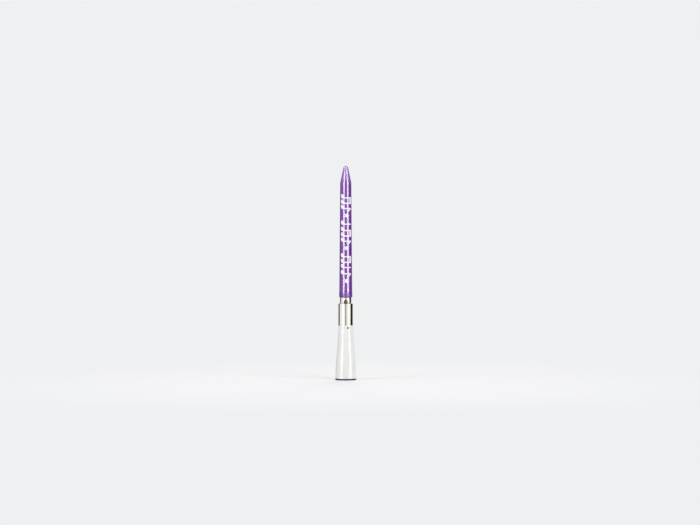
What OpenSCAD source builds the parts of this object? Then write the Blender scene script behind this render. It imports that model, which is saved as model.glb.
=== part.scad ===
// Musical birthday candle: a tapered wax candle in a chromed ferrule, on a flared base that
// lifts off an inner core with the cells, the melody board, the light sensor and the buzzer.
// Millimetres, +Z up, standing on the plane z = 0, with the candle's axis on the Z axis.
// The front, with the ferrule's seam, faces -Y.

/* [Candle] */
// Length of the wax above the ferrule
wax_len = 80.8; // [50:0.1:110]
// Diameter of the wax at its foot
wax_foot_d = 8.2; // [7.6:0.1:11]
// Diameter of the wax where its pointed tip starts
wax_top_d = 7; // [5:0.1:9]
// Radius of the rounded lower edge of the wax
wax_edge_r = 1.2; // [0.3:0.1:1.6]
// Length of the pointed tip
tip_len = 10.5; // [6:0.1:20]
// Diameter of the tip's blunt end
tip_d = 2.8; // [2.8:0.1:4.5]
// How full the tip's outline is: 1 is a cone, more is rounder
tip_fullness = 1.15; // [1:0.05:2]
// Diameter of the wax stub inside the ferrule
stub_d = 5.4; // [4.6:0.1:7]
// Diameter of the cotton wick
wick_d = 1.2; // [0.8:0.05:1.3]
// Length of wick above the wax
wick_out = 5; // [2:0.1:12]
// Diameter of the optical fibre
fibre_d = 0.5; // [0.25:0.05:0.55]
// Length of fibre that stands out of the tip
fibre_out = 0.8; // [0.2:0.1:2]
// Wax between the wick and the fibre
fibre_web = 0.1; // [0.08:0.01:0.15]

/* [Ferrule] */
// Length of the ferrule's wide sleeve
sleeve_len = 13.7; // [11:0.1:20]
// Length of the ferrule's narrow neck
neck_len = 3.4; // [2.4:0.1:6]
// How far the sleeve stands out from the neck
shoulder_step = 1; // [0.8:0.05:1.5]
// Outer radius of the rolled shoulder
shoulder_r = 0.7; // [0.5:0.05:0.75]
// Thickness of the ferrule's sheet
sheet_t = 0.3; // [0.2:0.05:0.4]
// Width of the ferrule's open seam
seam_w = 0.5; // [0.1:0.05:0.6]
// Diameter of the relief hole in the seam
relief_d = 2.7; // [1:0.1:2.8]
// Height of the relief hole's centre above the shoulder
relief_rise = 0.7; // [0.4:0.1:1.1]

/* [Candle socket] */
// Wall of the socket's collar inside the neck
collar_wall = 0.55; // [0.4:0.05:0.9]
// Thickness of the socket's floor
socket_floor_t = 3; // [2.4:0.1:5]
// Depth of the socket's plug in the shell
plug_len = 2; // [1:0.1:2.2]

/* [Base shell] */
// Wall of the shell
shell_wall = 0.9; // [0.7:0.05:1.1]
// How far the ferrule stands out from the shell's top
shell_step = 0.1; // [0:0.02:0.2]
// Wall of the shell's spigot inside the ferrule
spigot_wall = 0.9; // [0.6:0.05:1]
// How much wider than the ferrule's seam the spigot's slot behind it is, on each side
slot_side = 0.15; // [0.05:0.05:0.3]
// Extra radius at the foot, below the cell pocket
flare_room = 0.68; // [0.6:0.02:1.5]
// Height of the shell's straight foot
foot_straight = 1.1; // [0.2:0.05:2]
// Shell above the core's head, up to the ferrule
edge_room = 2.2; // [1.8:0.1:3]
// Diameter of the small vent hole
vent_d = 1.2; // [0.6:0.1:1.2]
// Drop of the vent hole below the ferrule
vent_drop = 1.6; // [1.2:0.1:3]
// Turn of the vent hole from the front, to the right
vent_turn = 18; // [0:1:60]

/* [Bottom cap] */
// Thickness of the cap's flange, which shows as a dark line under the shell
flange_t = 0.85; // [0.7:0.05:1.3]
// Height of the top of the cap's floor above the table
cap_t = 1.3; // [1:0.1:2.5]
// Wall of the cap's upright ring
ring_wall = 0.7; // [0.5:0.05:0.9]
// Width of the ring's inner ledge
ledge_w = 0.45; // [0.3:0.05:0.7]
// Width of the foot rim that stands on the table
foot_rim_w = 1.9; // [1:0.1:2.5]
// Depth of the recess inside the foot rim
recess_depth = 0.4; // [0.2:0.05:0.6]
// Diameter of a sound hole
sound_hole_d = 0.9; // [0.5:0.05:1.2]
// Number of sound holes in the circle
sound_holes = 6; // [4:1:8]
// Diameter of the circle of sound holes
sound_circle_d = 5; // [4:0.1:6]

/* [Buzzer] */
// Height of the air chamber under the buzzer
chamber_h = 0.8; // [0.5:0.1:2]
// Thickness of the brass plate
plate_t = 0.2; // [0.1:0.05:0.3]
// Diameter of the ceramic disc
ceramic_d = 6; // [4:0.1:6.4]
// Thickness of the ceramic disc
ceramic_t = 0.2; // [0.1:0.05:0.3]

/* [Button cells] */
// Diameter of a cell
cell_d = 7.9; // [6.8:0.1:9.5]
// Height of a cell
cell_h = 3.6; // [2.6:0.1:5.4]
// Diameter of a cell's negative cap
cell_cap_d = 5.8; // [4:0.1:6]
// Rise of the negative cap above the can
cell_cap_rise = 0.3; // [0.15:0.05:0.5]
// Radius of the can's rolled edges
can_edge_r = 0.35; // [0.15:0.05:0.5]

/* [Core] */
// Height of the core's skirt in the cap
skirt_h = 2.3; // [1.5:0.1:4]
// Wall of the skirt
skirt_wall = 0.6; // [0.4:0.05:0.7]
// Thickness of the core's floor
floor_t = 1; // [0.6:0.1:2]
// Wall behind the cells
pocket_wall = 0.5; // [0.4:0.05:0.8]
// Thickness of the deck over the cells
deck_t = 1; // [0.6:0.1:2]
// Thickness of the head under the sensor
head_t = 1.3; // [0.8:0.1:2.5]
// Outer lip of a board rail
rail_lip = 0.55; // [0.4:0.05:0.8]
// Depth of a board rail behind the board
rail_back = 0.7; // [0.5:0.05:0.9]
// How far a rail reaches behind the board
rail_grip = 0.4; // [0.3:0.05:0.6]
// Setback of the rails and the deck from the edges round them
rail_setback = 0.1; // [0.05:0.05:0.3]
// Width of the contact strips
strip_w = 1.6; // [1:0.1:1.8]
// Thickness of the contact strips
strip_t = 0.2; // [0.1:0.05:0.25]
// Height of a strip's tail above the deck
strip_tail = 2.4; // [1.5:0.1:3]

/* [Circuit board] */
// Length of the board
board_len = 16; // [14.5:0.1:24]
// Thickness of the board
board_t = 0.8; // [0.6:0.1:1]
// Diameter of the epoxy drop over the melody chip
chip_d = 3.8; // [2.5:0.1:4.2]
// Height of the epoxy drop
chip_h = 1; // [0.6:0.1:1.3]
// Diameter of the buzzer leads
lead_d = 0.4; // [0.3:0.05:0.45]
// Distance of each buzzer lead from the middle
lead_x = 1.1; // [0.8:0.1:1.3]

/* [Light sensor] */
// Diameter of the sensor
sensor_d = 3; // [2.5:0.1:3.4]
// Height of the sensor
sensor_h = 3.9; // [3:0.1:5]
// Thickness of the sensor's square legs
leg_t = 0.45; // [0.3:0.05:0.5]
// Distance between the legs
leg_pitch = 2.54; // [1.6:0.02:2.6]
// Length of the legs below the sensor
leg_len = 5; // [3.5:0.1:6]

/* [Clearances] */
// Radial play of the push fits that come apart
slip_fit = 0.05; // [0.02:0.01:0.1]
// Play of the fits that stay together
still_fit = 0.05; // [0.02:0.01:0.1]
// Gap between the core and the shell that lifts off it
lift_gap = 0.3; // [0.2:0.05:0.5]
// Gap between faces that seat on each other
seat_gap = 0.05; // [0.02:0.01:0.1]
// Play round a cell in its pocket
cell_play = 0.1; // [0.05:0.05:0.3]
// Light gap between the fibre and the sensor
light_gap = 0.6; // [0.4:0.1:1.2]

/* [Hidden] */
$fn = 64;

// Overlap that makes a cut run past a face
cut = 1;
// Steps along the shell's flare and the tip's outline
flare_steps = 18;
tip_steps = 8;

// Heights, from the table up
plate_z0 = cap_t + chamber_h;
plate_z1 = plate_z0 + plate_t;
ceramic_z1 = plate_z1 + ceramic_t;
skirt_z0 = plate_z1 + seat_gap;
ring_z1 = plate_z1 + skirt_h;
floor_z1 = ring_z1 + floor_t;
cell_z0 = floor_z1 + strip_t;
upper_cell_z0 = cell_z0 + cell_h;
leaf_z0 = upper_cell_z0 + cell_h;
deck_z0 = leaf_z0 + strip_t;
deck_z1 = deck_z0 + deck_t;
tail_z1 = deck_z1 + strip_tail;
board_z0 = deck_z1 + seat_gap;
board_z1 = board_z0 + board_len;
head_z0 = board_z1 + seat_gap;
head_z1 = head_z0 + head_t;
sensor_z1 = head_z1 + sensor_h;
fibre_z0 = sensor_z1 + light_gap;
socket_z0 = fibre_z0 + light_gap;
socket_floor_z1 = socket_z0 + socket_floor_t;
spigot_z1 = socket_z0 + plug_len;
stub_z0 = socket_floor_z1 + lift_gap;
shell_z0 = flange_t + seat_gap;
flare_z0 = shell_z0 + foot_straight;
ferrule_z0 = head_z1 + edge_room;
sleeve_z1 = ferrule_z0 + sleeve_len;
neck_z1 = sleeve_z1 + neck_len;
relief_z = sleeve_z1 + relief_rise;
wax_z0 = neck_z1 + seat_gap;
wax_z1 = wax_z0 + wax_len;

// Radii of the candle, its socket and the ferrule, from the stub outwards
stub_r = stub_d / 2;
bore_r = stub_r + slip_fit;
collar_r = bore_r + collar_wall;
neck_r = collar_r + still_fit + sheet_t;
ferrule_r = neck_r + shoulder_step;
spigot_r = ferrule_r - sheet_t - still_fit;
spigot_bore_r = spigot_r - spigot_wall;
slot_w = seam_w + 2 * slot_side;
fibre_y = wick_d / 2 + fibre_web + fibre_d / 2;

// Radii of the shell and the core, from the cells outwards
pocket_r = cell_d / 2 + cell_play;
pocket_wall_r = pocket_r + pocket_wall;
shell_foot_r = pocket_wall_r + lift_gap + shell_wall + flare_room;
shell_top_r = ferrule_r - shell_step;
shell_bore_r = shell_r(ring_z1) - shell_wall;
ring_r = shell_bore_r - slip_fit;
ring_bore_r = ring_r - ring_wall;
plate_r = ring_bore_r - still_fit;
floor_r = shell_r(floor_z1) - shell_wall - lift_gap;
head_r = shell_top_r - shell_wall - lift_gap;

// The board stands so that the sensor's legs lie on its back face
leg_x = leg_pitch / 2;
board_back_y = fibre_y - leg_t / 2 - seat_gap;
board_front_y = board_back_y - board_t;
rail_back_y = board_back_y + rail_back;
rail_x1 = sqrt(pow(head_r - rail_setback, 2) - rail_back_y * rail_back_y);
board_half_w = rail_x1 - rail_lip;
strip_x0 = pocket_r;
board_foot_half_w = strip_x0 - seat_gap;

// Heights of what sits on the board
pad_z = tail_z1 + 1.2;
chip_z = board_z0 + 0.5 * board_len;
transistor_z = board_z0 + 0.77 * board_len;
resistor_z = board_z0 + 0.4 * board_len;
capacitor_z = board_z0 + 0.55 * board_len;
leg_z0 = head_z1 - leg_len;

// Sizes of the small parts on the board
transistor_size = [2.9, 0.95, 1.3];
transistor_leg = [0.4, 0.2, 0.55];
chip_size = [1.6, 0.5, 0.8];
chip_end = 0.3;
chip_end_t = 0.04;
solder_d = 0.9;
solder_h = 0.4;

// The buzzer leads run in front of the cells
lead_r = lead_d / 2;
lead_y = -(pocket_r + lead_r);
lead_bend = 0.8;
lead_sides = 8;
notch_half_w = lead_x + lead_d + lift_gap;
notch_y = lead_y + lead_d + lift_gap;

// Smooth step from 0 to 1
function ease(t) = t * t * (3 - 2 * t);

// Outer radius of the shell at a height
function shell_r(z) =
    let (t = max(0, min(1, (ferrule_z0 - z) / (ferrule_z0 - flare_z0))))
    shell_top_r + (shell_foot_r - shell_top_r) * ease(t);

// Points of an arc in the profile plane
function arc(centre, r, from, to, steps = 6) = [
    for (i = [0:steps])
        let (a = from + (to - from) * i / steps)
        centre + r * [cos(a), sin(a)]
];

function unit(v) = v / norm(v);

// A rounded corner at b, on the way from a to c
function corner(a, b, c) =
    let (p = b + lead_bend * unit(a - b), q = b + lead_bend * unit(c - b))
    [for (s = [0:0.25:1]) (1 - s) * (1 - s) * p + 2 * s * (1 - s) * b + s * s * q];

// A tube
module tube(r, wall, h) {
    difference() {
        cylinder(r = r, h = h);
        translate([0, 0, -cut]) cylinder(r = r - wall, h = h + 2 * cut);
    }
}

// A low dome of round outline, standing on z = 0
module dome(d, h) {
    ball_r = (d * d / 4 + h * h) / (2 * h);
    rim_angle = asin((ball_r - h) / ball_r);
    rotate_extrude()
        polygon(concat([[0, 0]], arc([0, h - ball_r], ball_r, rim_angle, 90)));
}

// Puts something that stands on z = 0 on the board's front or back face, at x and z
module on_front(x, z) {
    translate([x, board_front_y - still_fit, z]) rotate([90, 0, 0]) children();
}

module on_back(x, z) {
    translate([x, board_back_y + still_fit, z]) rotate([-90, 0, 0]) children();
}

// A round lead along points that keep one x
module lead(points) {
    last = len(points) - 1;
    sides = lead_sides;
    rings = [
        for (i = [0:last])
            let (t = unit(points[min(i + 1, last)] - points[max(i - 1, 0)]))
            for (k = [0:sides - 1])
                let (a = 360 * k / sides)
                points[i] + lead_r * (cos(a) * [1, 0, 0] + sin(a) * cross(t, [1, 0, 0]))
    ];
    walls = [
        for (i = [0:last - 1], k = [0:sides - 1])
            let (a = i * sides + k, b = i * sides + (k + 1) % sides)
            for (face = [[a, a + sides, b + sides], [a, b + sides, b]]) face
    ];
    caps = [
        [for (k = [0:sides - 1]) k],
        [for (k = [sides - 1:-1:0]) last * sides + k]
    ];
    polyhedron(points = rings, faces = concat(walls, caps));
}

// The path of a lead, from its start on the buzzer up to its pad on the board
function lead_path(x, start_y, start_z) =
    let (
        start = [x, start_y, start_z],
        low = [x, lead_y, start_z],
        high = [x, lead_y, deck_z1 + lead_bend],
        face = [x, board_front_y - still_fit - lead_r, tail_z1],
        pad = [x, board_front_y - still_fit - lead_r, pad_z]
    )
    concat([start], corner(start, low, high), corner(low, high, face), corner(high, face, pad), [pad]);

// Wax of the candle: stub, tapered body and pointed tip, with holes for the wick and the fibre
module candle_wax() {
    foot_r = wax_foot_d / 2;
    top_r = wax_top_d / 2;
    tip_r = tip_d / 2;
    tip_z0 = wax_z1 - tip_len;
    tip = [
        for (i = [0:tip_steps])
            let (t = i / tip_steps)
            [top_r - (top_r - tip_r) * pow(t, tip_fullness), tip_z0 + tip_len * t]
    ];
    edge = arc([foot_r - wax_edge_r, wax_z0 + wax_edge_r], wax_edge_r, -90, 0);
    stub = [[0, stub_z0], [stub_r, stub_z0], [stub_r, wax_z0]];
    color("mediumorchid")
        difference() {
            rotate_extrude() polygon(concat(stub, edge, tip, [[0, wax_z1]]));
            translate([0, 0, stub_z0 - cut])
                cylinder(d = wick_d + still_fit, h = wax_z1 - stub_z0 + 2 * cut);
            translate([0, fibre_y, stub_z0 - cut])
                cylinder(d = fibre_d + still_fit, h = wax_z1 - stub_z0 + 2 * cut);
        }
}

// Cotton wick, from the foot of the stub to above the tip
module wick() {
    color("ivory") translate([0, 0, stub_z0]) cylinder(d = wick_d, h = wax_z1 + wick_out - stub_z0);
}

// Clear fibre that leads the flame's light down to the sensor
module optical_fibre() {
    color("aliceblue")
        translate([0, fibre_y, fibre_z0])
            cylinder(d = fibre_d, h = wax_z1 + fibre_out - fibre_z0);
}

// Rolled sheet ferrule with a neck, an open seam down its front and a relief hole in the seam
module ferrule() {
    roll = ferrule_r - shoulder_r;
    roll_z = sleeve_z1 - shoulder_r;
    outside = concat(
        [[ferrule_r, ferrule_z0]],
        arc([roll, roll_z], shoulder_r, 0, 90),
        [[neck_r, sleeve_z1], [neck_r, neck_z1]]
    );
    inside = concat(
        [[neck_r - sheet_t, neck_z1], [neck_r - sheet_t, sleeve_z1 - sheet_t]],
        arc([roll, roll_z], shoulder_r - sheet_t, 90, 0),
        [[ferrule_r - sheet_t, ferrule_z0]]
    );
    color("gainsboro")
        difference() {
            rotate_extrude() polygon(concat(outside, inside));
            translate([-seam_w / 2, -ferrule_r - cut, ferrule_z0 - cut])
                cube([seam_w, ferrule_r + cut, neck_z1 - ferrule_z0 + 2 * cut]);
            translate([0, 0, relief_z]) rotate([90, 0, 0]) cylinder(d = relief_d, h = ferrule_r + cut);
        }
}

// Dark grey socket inside the ferrule, with a bore for the stub and a plug that sits in the shell
module candle_socket() {
    body_r = spigot_r;
    body_z1 = sleeve_z1 - shoulder_r - seat_gap;
    plug_r = spigot_bore_r - still_fit;
    color([0.35, 0.34, 0.3])
        difference() {
            union() {
                translate([0, 0, socket_z0]) cylinder(r = plug_r, h = plug_len + cut / 2);
                translate([0, 0, spigot_z1 + seat_gap])
                    cylinder(r = body_r, h = body_z1 - spigot_z1 - seat_gap);
                translate([0, 0, body_z1 - cut]) cylinder(r = collar_r, h = neck_z1 - body_z1 + cut);
            }
            translate([0, 0, socket_floor_z1]) cylinder(r = bore_r, h = neck_z1 - socket_floor_z1 + cut);
            translate([0, fibre_y, socket_z0 - cut])
                cylinder(r = fibre_d / 2 + slip_fit, h = socket_floor_t + 2 * cut);
        }
}

// White flared shell, with a small vent hole and a slit spigot that the ferrule is pressed over
module base_shell() {
    outer_step = (ferrule_z0 - flare_z0) / flare_steps;
    inner_step = (ferrule_z0 - ring_z1) / flare_steps;
    outside = [
        for (i = [0:flare_steps])
            let (z = flare_z0 + i * outer_step)
            [shell_r(z), z]
    ];
    inside = [
        for (i = [flare_steps:-1:0])
            let (z = ring_z1 + i * inner_step)
            [shell_r(z) - shell_wall, z]
    ];
    spigot = [
        [spigot_r, ferrule_z0], [spigot_r, spigot_z1],
        [spigot_bore_r, spigot_z1], [spigot_bore_r, ferrule_z0]
    ];
    color("white")
        difference() {
            rotate_extrude()
                polygon(concat([[shell_foot_r, shell_z0]], outside, spigot, inside, [[shell_bore_r, shell_z0]]));
            rotate([0, 0, vent_turn])
                translate([0, 0, ferrule_z0 - vent_drop])
                    rotate([90, 0, 0]) cylinder(d = vent_d, h = shell_foot_r);
            translate([-slot_w / 2, -spigot_r - cut, ferrule_z0 + seat_gap])
                cube([slot_w, spigot_wall + 2 * cut, spigot_z1 - ferrule_z0 + cut]);
        }
}

// Black cap that the candle stands on, with sound holes and a ring that the shell is pushed over
module bottom_cap() {
    recess_r = shell_foot_r - foot_rim_w;
    color([0.08, 0.08, 0.08])
        difference() {
            union() {
                cylinder(r = shell_foot_r, h = flange_t);
                cylinder(r = ring_r, h = ring_z1);
            }
            translate([0, 0, -cut]) cylinder(r = recess_r, h = recess_depth + cut);
            translate([0, 0, cap_t]) cylinder(r = ring_bore_r - ledge_w, h = ring_z1);
            translate([0, 0, plate_z0]) cylinder(r = ring_bore_r, h = ring_z1);
            translate([0, 0, -cut]) cylinder(d = sound_hole_d, h = cap_t + 2 * cut);
            for (i = [0:sound_holes - 1])
                rotate([0, 0, 360 * i / sound_holes])
                    translate([sound_circle_d / 2, 0, -cut])
                        cylinder(d = sound_hole_d, h = cap_t + 2 * cut);
        }
}

// Brass plate of the buzzer, on the cap's ledge
module buzzer_plate() {
    color("goldenrod") translate([0, 0, plate_z0]) cylinder(r = plate_r, h = plate_t);
}

// Ceramic disc of the buzzer, on the brass plate
module buzzer_ceramic() {
    color("whitesmoke") translate([0, 0, plate_z1]) cylinder(d = ceramic_d, h = ceramic_t);
}

// Outline of the board in its own plane, wider at its foot between the two contact strips
module board_outline(gap) {
    foot_x = board_foot_half_w + gap;
    side_x = board_half_w + gap;
    foot_z1 = tail_z1 + gap;
    polygon([
        [-foot_x, board_z0 - gap], [foot_x, board_z0 - gap], [foot_x, foot_z1], [side_x, foot_z1],
        [side_x, board_z1 + gap], [-side_x, board_z1 + gap], [-side_x, foot_z1], [-foot_x, foot_z1]
    ]);
}

// The board's solid, larger by a gap all round
module board_block(gap) {
    translate([0, board_back_y + gap, 0])
        rotate([90, 0, 0]) linear_extrude(height = board_t + 2 * gap) board_outline(gap);
}

// Frame of the core: skirt, floor, cell pocket, deck, board rails and the sensor's head
module core_frame() {
    skirt_r = ring_bore_r - still_fit;
    pocket_y = strip_w / 2 + lift_gap;
    deck_half_w = strip_x0 - seat_gap;
    rail_x0 = board_half_w - rail_grip;
    slot_half_w = leg_x + leg_t / 2 + seat_gap;
    slot_half_d = leg_t / 2 + seat_gap;
    color("lightgray")
        difference() {
            union() {
                translate([0, 0, skirt_z0]) tube(skirt_r, skirt_wall, ring_z1 - skirt_z0 + cut / 2);
                translate([0, 0, ring_z1 + seat_gap]) cylinder(r = floor_r, h = floor_t - seat_gap);
                difference() {
                    translate([0, 0, floor_z1 - cut / 2])
                        tube(pocket_wall_r, pocket_wall, deck_z0 + deck_t / 2 - floor_z1 + cut / 2);
                    translate([-shell_foot_r, pocket_y - 2 * shell_foot_r, floor_z1])
                        cube([2 * shell_foot_r, 2 * shell_foot_r, deck_z1 - floor_z1 + cut]);
                }
                intersection() {
                    translate([0, 0, deck_z0]) cylinder(r = pocket_wall_r - rail_setback, h = deck_t);
                    translate([-deck_half_w, -shell_foot_r, deck_z0])
                        cube([2 * deck_half_w, 2 * shell_foot_r, deck_t]);
                }
                for (x = [rail_x0, -rail_x1])
                    translate([x, board_front_y, deck_z1 - cut / 2])
                        cube([rail_x1 - rail_x0, rail_back_y - board_front_y, head_z0 - deck_z1 + cut]);
                translate([0, 0, head_z0]) cylinder(r = head_r, h = head_t);
            }
            board_block(seat_gap);
            translate([-slot_half_w, fibre_y - slot_half_d, head_z0 - cut])
                cube([2 * slot_half_w, 2 * slot_half_d, head_t + 2 * cut]);
            translate([-notch_half_w, notch_y - shell_foot_r, skirt_z0 - cut])
                cube([2 * notch_half_w, shell_foot_r, deck_z1 - skirt_z0 + 2 * cut]);
        }
}

// One button cell: the can below, the negative cap above
module button_cell() {
    can_r = cell_d / 2;
    can_h = cell_h - cell_cap_rise;
    can = concat(
        [[0, 0]],
        arc([can_r - can_edge_r, can_edge_r], can_edge_r, -90, 0),
        arc([can_r - can_edge_r, can_h - can_edge_r], can_edge_r, 0, 90),
        [[cell_cap_d / 2, can_h], [cell_cap_d / 2, cell_h], [0, cell_h]]
    );
    rotate_extrude() polygon(can);
}

module lower_cell() {
    color("silver") translate([0, 0, cell_z0]) button_cell();
}

module upper_cell() {
    color("silver") translate([0, 0, upper_cell_z0]) button_cell();
}

// Sealing rings round the cells' negative caps
module cell_seals() {
    seal_w = 0.4;
    color("seagreen")
        for (z = [cell_z0, upper_cell_z0])
            translate([0, 0, z + cell_h - cell_cap_rise])
                tube(cell_cap_d / 2 + seal_w, seal_w, cell_cap_rise / 2);
}

// Strip under the lower cell, with a tail that rises to the board
module positive_contact() {
    color("lightsteelblue") {
        translate([-cell_d / 4, -strip_w / 2, floor_z1])
            cube([cell_d / 4 + strip_x0 + strip_t, strip_w, strip_t]);
        translate([strip_x0, -strip_w / 2, floor_z1])
            cube([strip_t, strip_w, tail_z1 - floor_z1]);
    }
}

// Strip over the upper cell, with a tail that rises to the board on the other side
module negative_contact() {
    color("lightsteelblue") {
        translate([-strip_x0 - strip_t, -strip_w / 2, leaf_z0])
            cube([cell_d / 4 + strip_x0 + strip_t, strip_w, strip_t]);
        translate([-strip_x0 - strip_t, -strip_w / 2, leaf_z0])
            cube([strip_t, strip_w, tail_z1 - leaf_z0]);
    }
}

module circuit_board() {
    color("darkgreen") board_block(0);
}

// Drop of black epoxy over the melody chip
module melody_chip() {
    color([0.06, 0.06, 0.07]) on_front(0, chip_z) dome(chip_d, chip_h);
}

// Small transistor that drives the buzzer
module driver_transistor() {
    body = transistor_size;
    leg = transistor_leg;
    leg_places = [[-0.95, -1], [0.95, -1], [0, 1]];
    color([0.12, 0.12, 0.13])
        translate([0, board_front_y - still_fit, transistor_z]) {
            translate([-body[0] / 2, -body[1], -body[2] / 2]) cube(body);
            for (place = leg_places)
                translate([place[0] - leg[0] / 2, -leg[1], place[1] * body[2] / 2 - leg[2] / 2 + place[1] * 0.1])
                    cube(leg);
        }
}

// A chip component with a metal end on each side, on the board's back face
module chip_part(z) {
    size = chip_size;
    end = [chip_end, size[1] + chip_end_t, size[2] + 2 * chip_end_t];
    translate([0, board_back_y + still_fit, z]) {
        translate([-size[0] / 2, chip_end_t, -size[2] / 2]) cube(size);
        for (x = [-size[0] / 2 - chip_end_t, size[0] / 2 - chip_end + chip_end_t])
            translate([x, 0, -end[2] / 2]) cube(end + [0, chip_end_t, 0]);
    }
}

module chip_resistor() {
    color([0.15, 0.15, 0.16]) chip_part(resistor_z);
}

module chip_capacitor() {
    color("tan") chip_part(capacitor_z);
}

// Light sensor under the fibre's lower end: flange, body and domed top
module light_sensor() {
    flange_h = 0.6;
    flange_w = 0.2;
    body_h = sensor_h - sensor_d / 2;
    profile = concat(
        [[0, seat_gap], [sensor_d / 2 + flange_w, seat_gap], [sensor_d / 2 + flange_w, flange_h]],
        [[sensor_d / 2, flange_h]],
        arc([0, body_h], sensor_d / 2, 0, 90, 8)
    );
    color([0.75, 0.8, 0.85]) translate([0, fibre_y, head_z1]) rotate_extrude() polygon(profile);
}

// The sensor's two legs, through the head and down the board's back face
module sensor_legs() {
    color("silver")
        for (x = [-leg_x, leg_x])
            translate([x - leg_t / 2, fibre_y - leg_t / 2, leg_z0])
                cube([leg_t, leg_t, head_z1 - leg_z0]);
}

// Lead from the ceramic disc to the board
module buzzer_lead_red() {
    color("firebrick") lead(lead_path(lead_x, -ceramic_d / 4, ceramic_z1 + seat_gap + lead_r));
}

// Lead from the brass plate to the board
module buzzer_lead_black() {
    plate_edge_y = -(ceramic_d / 2 + seat_gap);
    color([0.1, 0.1, 0.1]) lead(lead_path(-lead_x, plate_edge_y, plate_z1 + seat_gap + lead_r));
}

// Solder at the ends of the leads, the legs and the strips' tails
module solder_joints() {
    reach = solder_d / 2 + seat_gap;
    color("lightgray") {
        for (x = [-lead_x, lead_x]) on_front(x, pad_z + reach) dome(solder_d, solder_h);
        for (x = [-leg_x, leg_x]) on_back(x, leg_z0 - reach) dome(solder_d, solder_h);
        for (x = [-1, 1]) on_front(x * (strip_x0 - reach), tail_z1 - solder_d) dome(solder_d, solder_h);
        translate([lead_x, -ceramic_d / 4 + reach, ceramic_z1 + seat_gap]) dome(solder_d, solder_h);
    }
}

candle_wax();
wick();
optical_fibre();
ferrule();
candle_socket();
base_shell();
bottom_cap();
buzzer_plate();
buzzer_ceramic();
core_frame();
lower_cell();
upper_cell();
cell_seals();
positive_contact();
negative_contact();
circuit_board();
melody_chip();
driver_transistor();
chip_resistor();
chip_capacitor();
light_sensor();
sensor_legs();
buzzer_lead_red();
buzzer_lead_black();
solder_joints();
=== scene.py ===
# %% [markdown]
# # Dressing a musical candle
# The real object is a slim purple wax candle with a white print. Its foot sits in a chromed ferrule on a
# flared white base, and a core with two button cells, a melody board and a buzzer stands inside the base.
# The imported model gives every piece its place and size, in metres, so this lesson only adds what plain
# solids lack: soft edges, fine surfaces, a spun wick, the print and the studio.

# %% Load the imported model
import math

import bmesh
import bpy
import numpy as np
from mathutils import Matrix, Vector


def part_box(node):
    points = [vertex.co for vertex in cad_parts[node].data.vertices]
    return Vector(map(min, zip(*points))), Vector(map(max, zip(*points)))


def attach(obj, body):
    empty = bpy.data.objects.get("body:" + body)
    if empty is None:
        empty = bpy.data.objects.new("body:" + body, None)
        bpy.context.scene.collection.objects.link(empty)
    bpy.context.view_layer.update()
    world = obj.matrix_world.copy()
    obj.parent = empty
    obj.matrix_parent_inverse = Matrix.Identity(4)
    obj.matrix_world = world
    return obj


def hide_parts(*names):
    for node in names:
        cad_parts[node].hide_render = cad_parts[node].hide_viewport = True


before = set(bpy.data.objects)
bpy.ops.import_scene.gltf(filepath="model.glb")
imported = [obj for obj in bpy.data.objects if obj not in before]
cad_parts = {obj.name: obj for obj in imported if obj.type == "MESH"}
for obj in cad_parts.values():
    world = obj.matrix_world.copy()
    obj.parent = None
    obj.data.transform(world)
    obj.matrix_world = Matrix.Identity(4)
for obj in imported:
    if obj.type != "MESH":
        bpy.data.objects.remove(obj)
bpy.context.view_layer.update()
MM = 0.001


def in_mm(box):
    """A box's two corners in mm, short enough to print."""
    return [[round(value / MM, 2) for value in corner] for corner in box]


# %% [markdown]
# ## The camera
# The photograph looks straight at the candle from its own height, from far enough away that the sides look
# parallel. One pixel is 0.618 mm at the candle's axis, so the lens follows from the distance, and the
# camera's place from the two pixels where the axis and the foot are seen.

# %% Camera
PICTURE_WIDTH, PICTURE_HEIGHT = 700, 525
PIXEL = 0.618 * MM
AXIS_PIXEL_X, FOOT_PIXEL_Y = 345.8, 379.9
CAMERA_DISTANCE, SENSOR_WIDTH = 1.2, 36.0

scene = bpy.context.scene
scene.view_settings.view_transform = "Standard"


def linked(name, data):
    """A new object in the scene."""
    item = bpy.data.objects.new(name, data)
    scene.collection.objects.link(item)
    return item


camera_data = bpy.data.cameras.new("camera")
camera_data.sensor_width = SENSOR_WIDTH
camera_data.lens = SENSOR_WIDTH * CAMERA_DISTANCE / (PICTURE_WIDTH * PIXEL)
camera = linked("camera", camera_data)
camera.location = ((PICTURE_WIDTH / 2 - AXIS_PIXEL_X) * PIXEL, -CAMERA_DISTANCE,
                   (FOOT_PIXEL_Y - PICTURE_HEIGHT / 2) * PIXEL)
camera.rotation_euler = (math.radians(90), 0, 0)
scene.camera = camera
print("lens, mm:", round(camera_data.lens, 1), "camera height, mm:", round(camera.location.z / MM, 1))

# %% [markdown]
# ## Helpers for materials
# Colours are written as they look on a screen, and turned into the linear values that the shader wants. A
# few small functions keep the node code short. An input takes a plain value or another node's socket, so a
# whole chain of nodes can be written as one expression.

# %% Colours and nodes
def colour(code):
    """A screen colour such as "c8a0ff" as linear red, green, blue and alpha."""
    parts = [int(code[i:i + 2], 16) / 255 for i in (0, 2, 4)]
    return tuple(p / 12.92 if p <= 0.04045 else ((p + 0.055) / 1.055) ** 2.4 for p in parts) + (1.0,)


def feed(tree, node, inputs):
    """Give a node's inputs, by name or number, plain values or other nodes' sockets."""
    for key, value in inputs.items():
        if isinstance(value, bpy.types.NodeSocket):
            tree.links.new(value, node.inputs[key])
        else:
            node.inputs[key].default_value = value


def add_node(tree, kind, inputs=None, **settings):
    """A new node with its settings and its fed inputs."""
    node = tree.nodes.new(kind)
    for name, value in settings.items():
        setattr(node, name, value)
    feed(tree, node, inputs or {})
    return node


print("white is", [round(value, 2) for value in colour("ffffff")])

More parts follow.
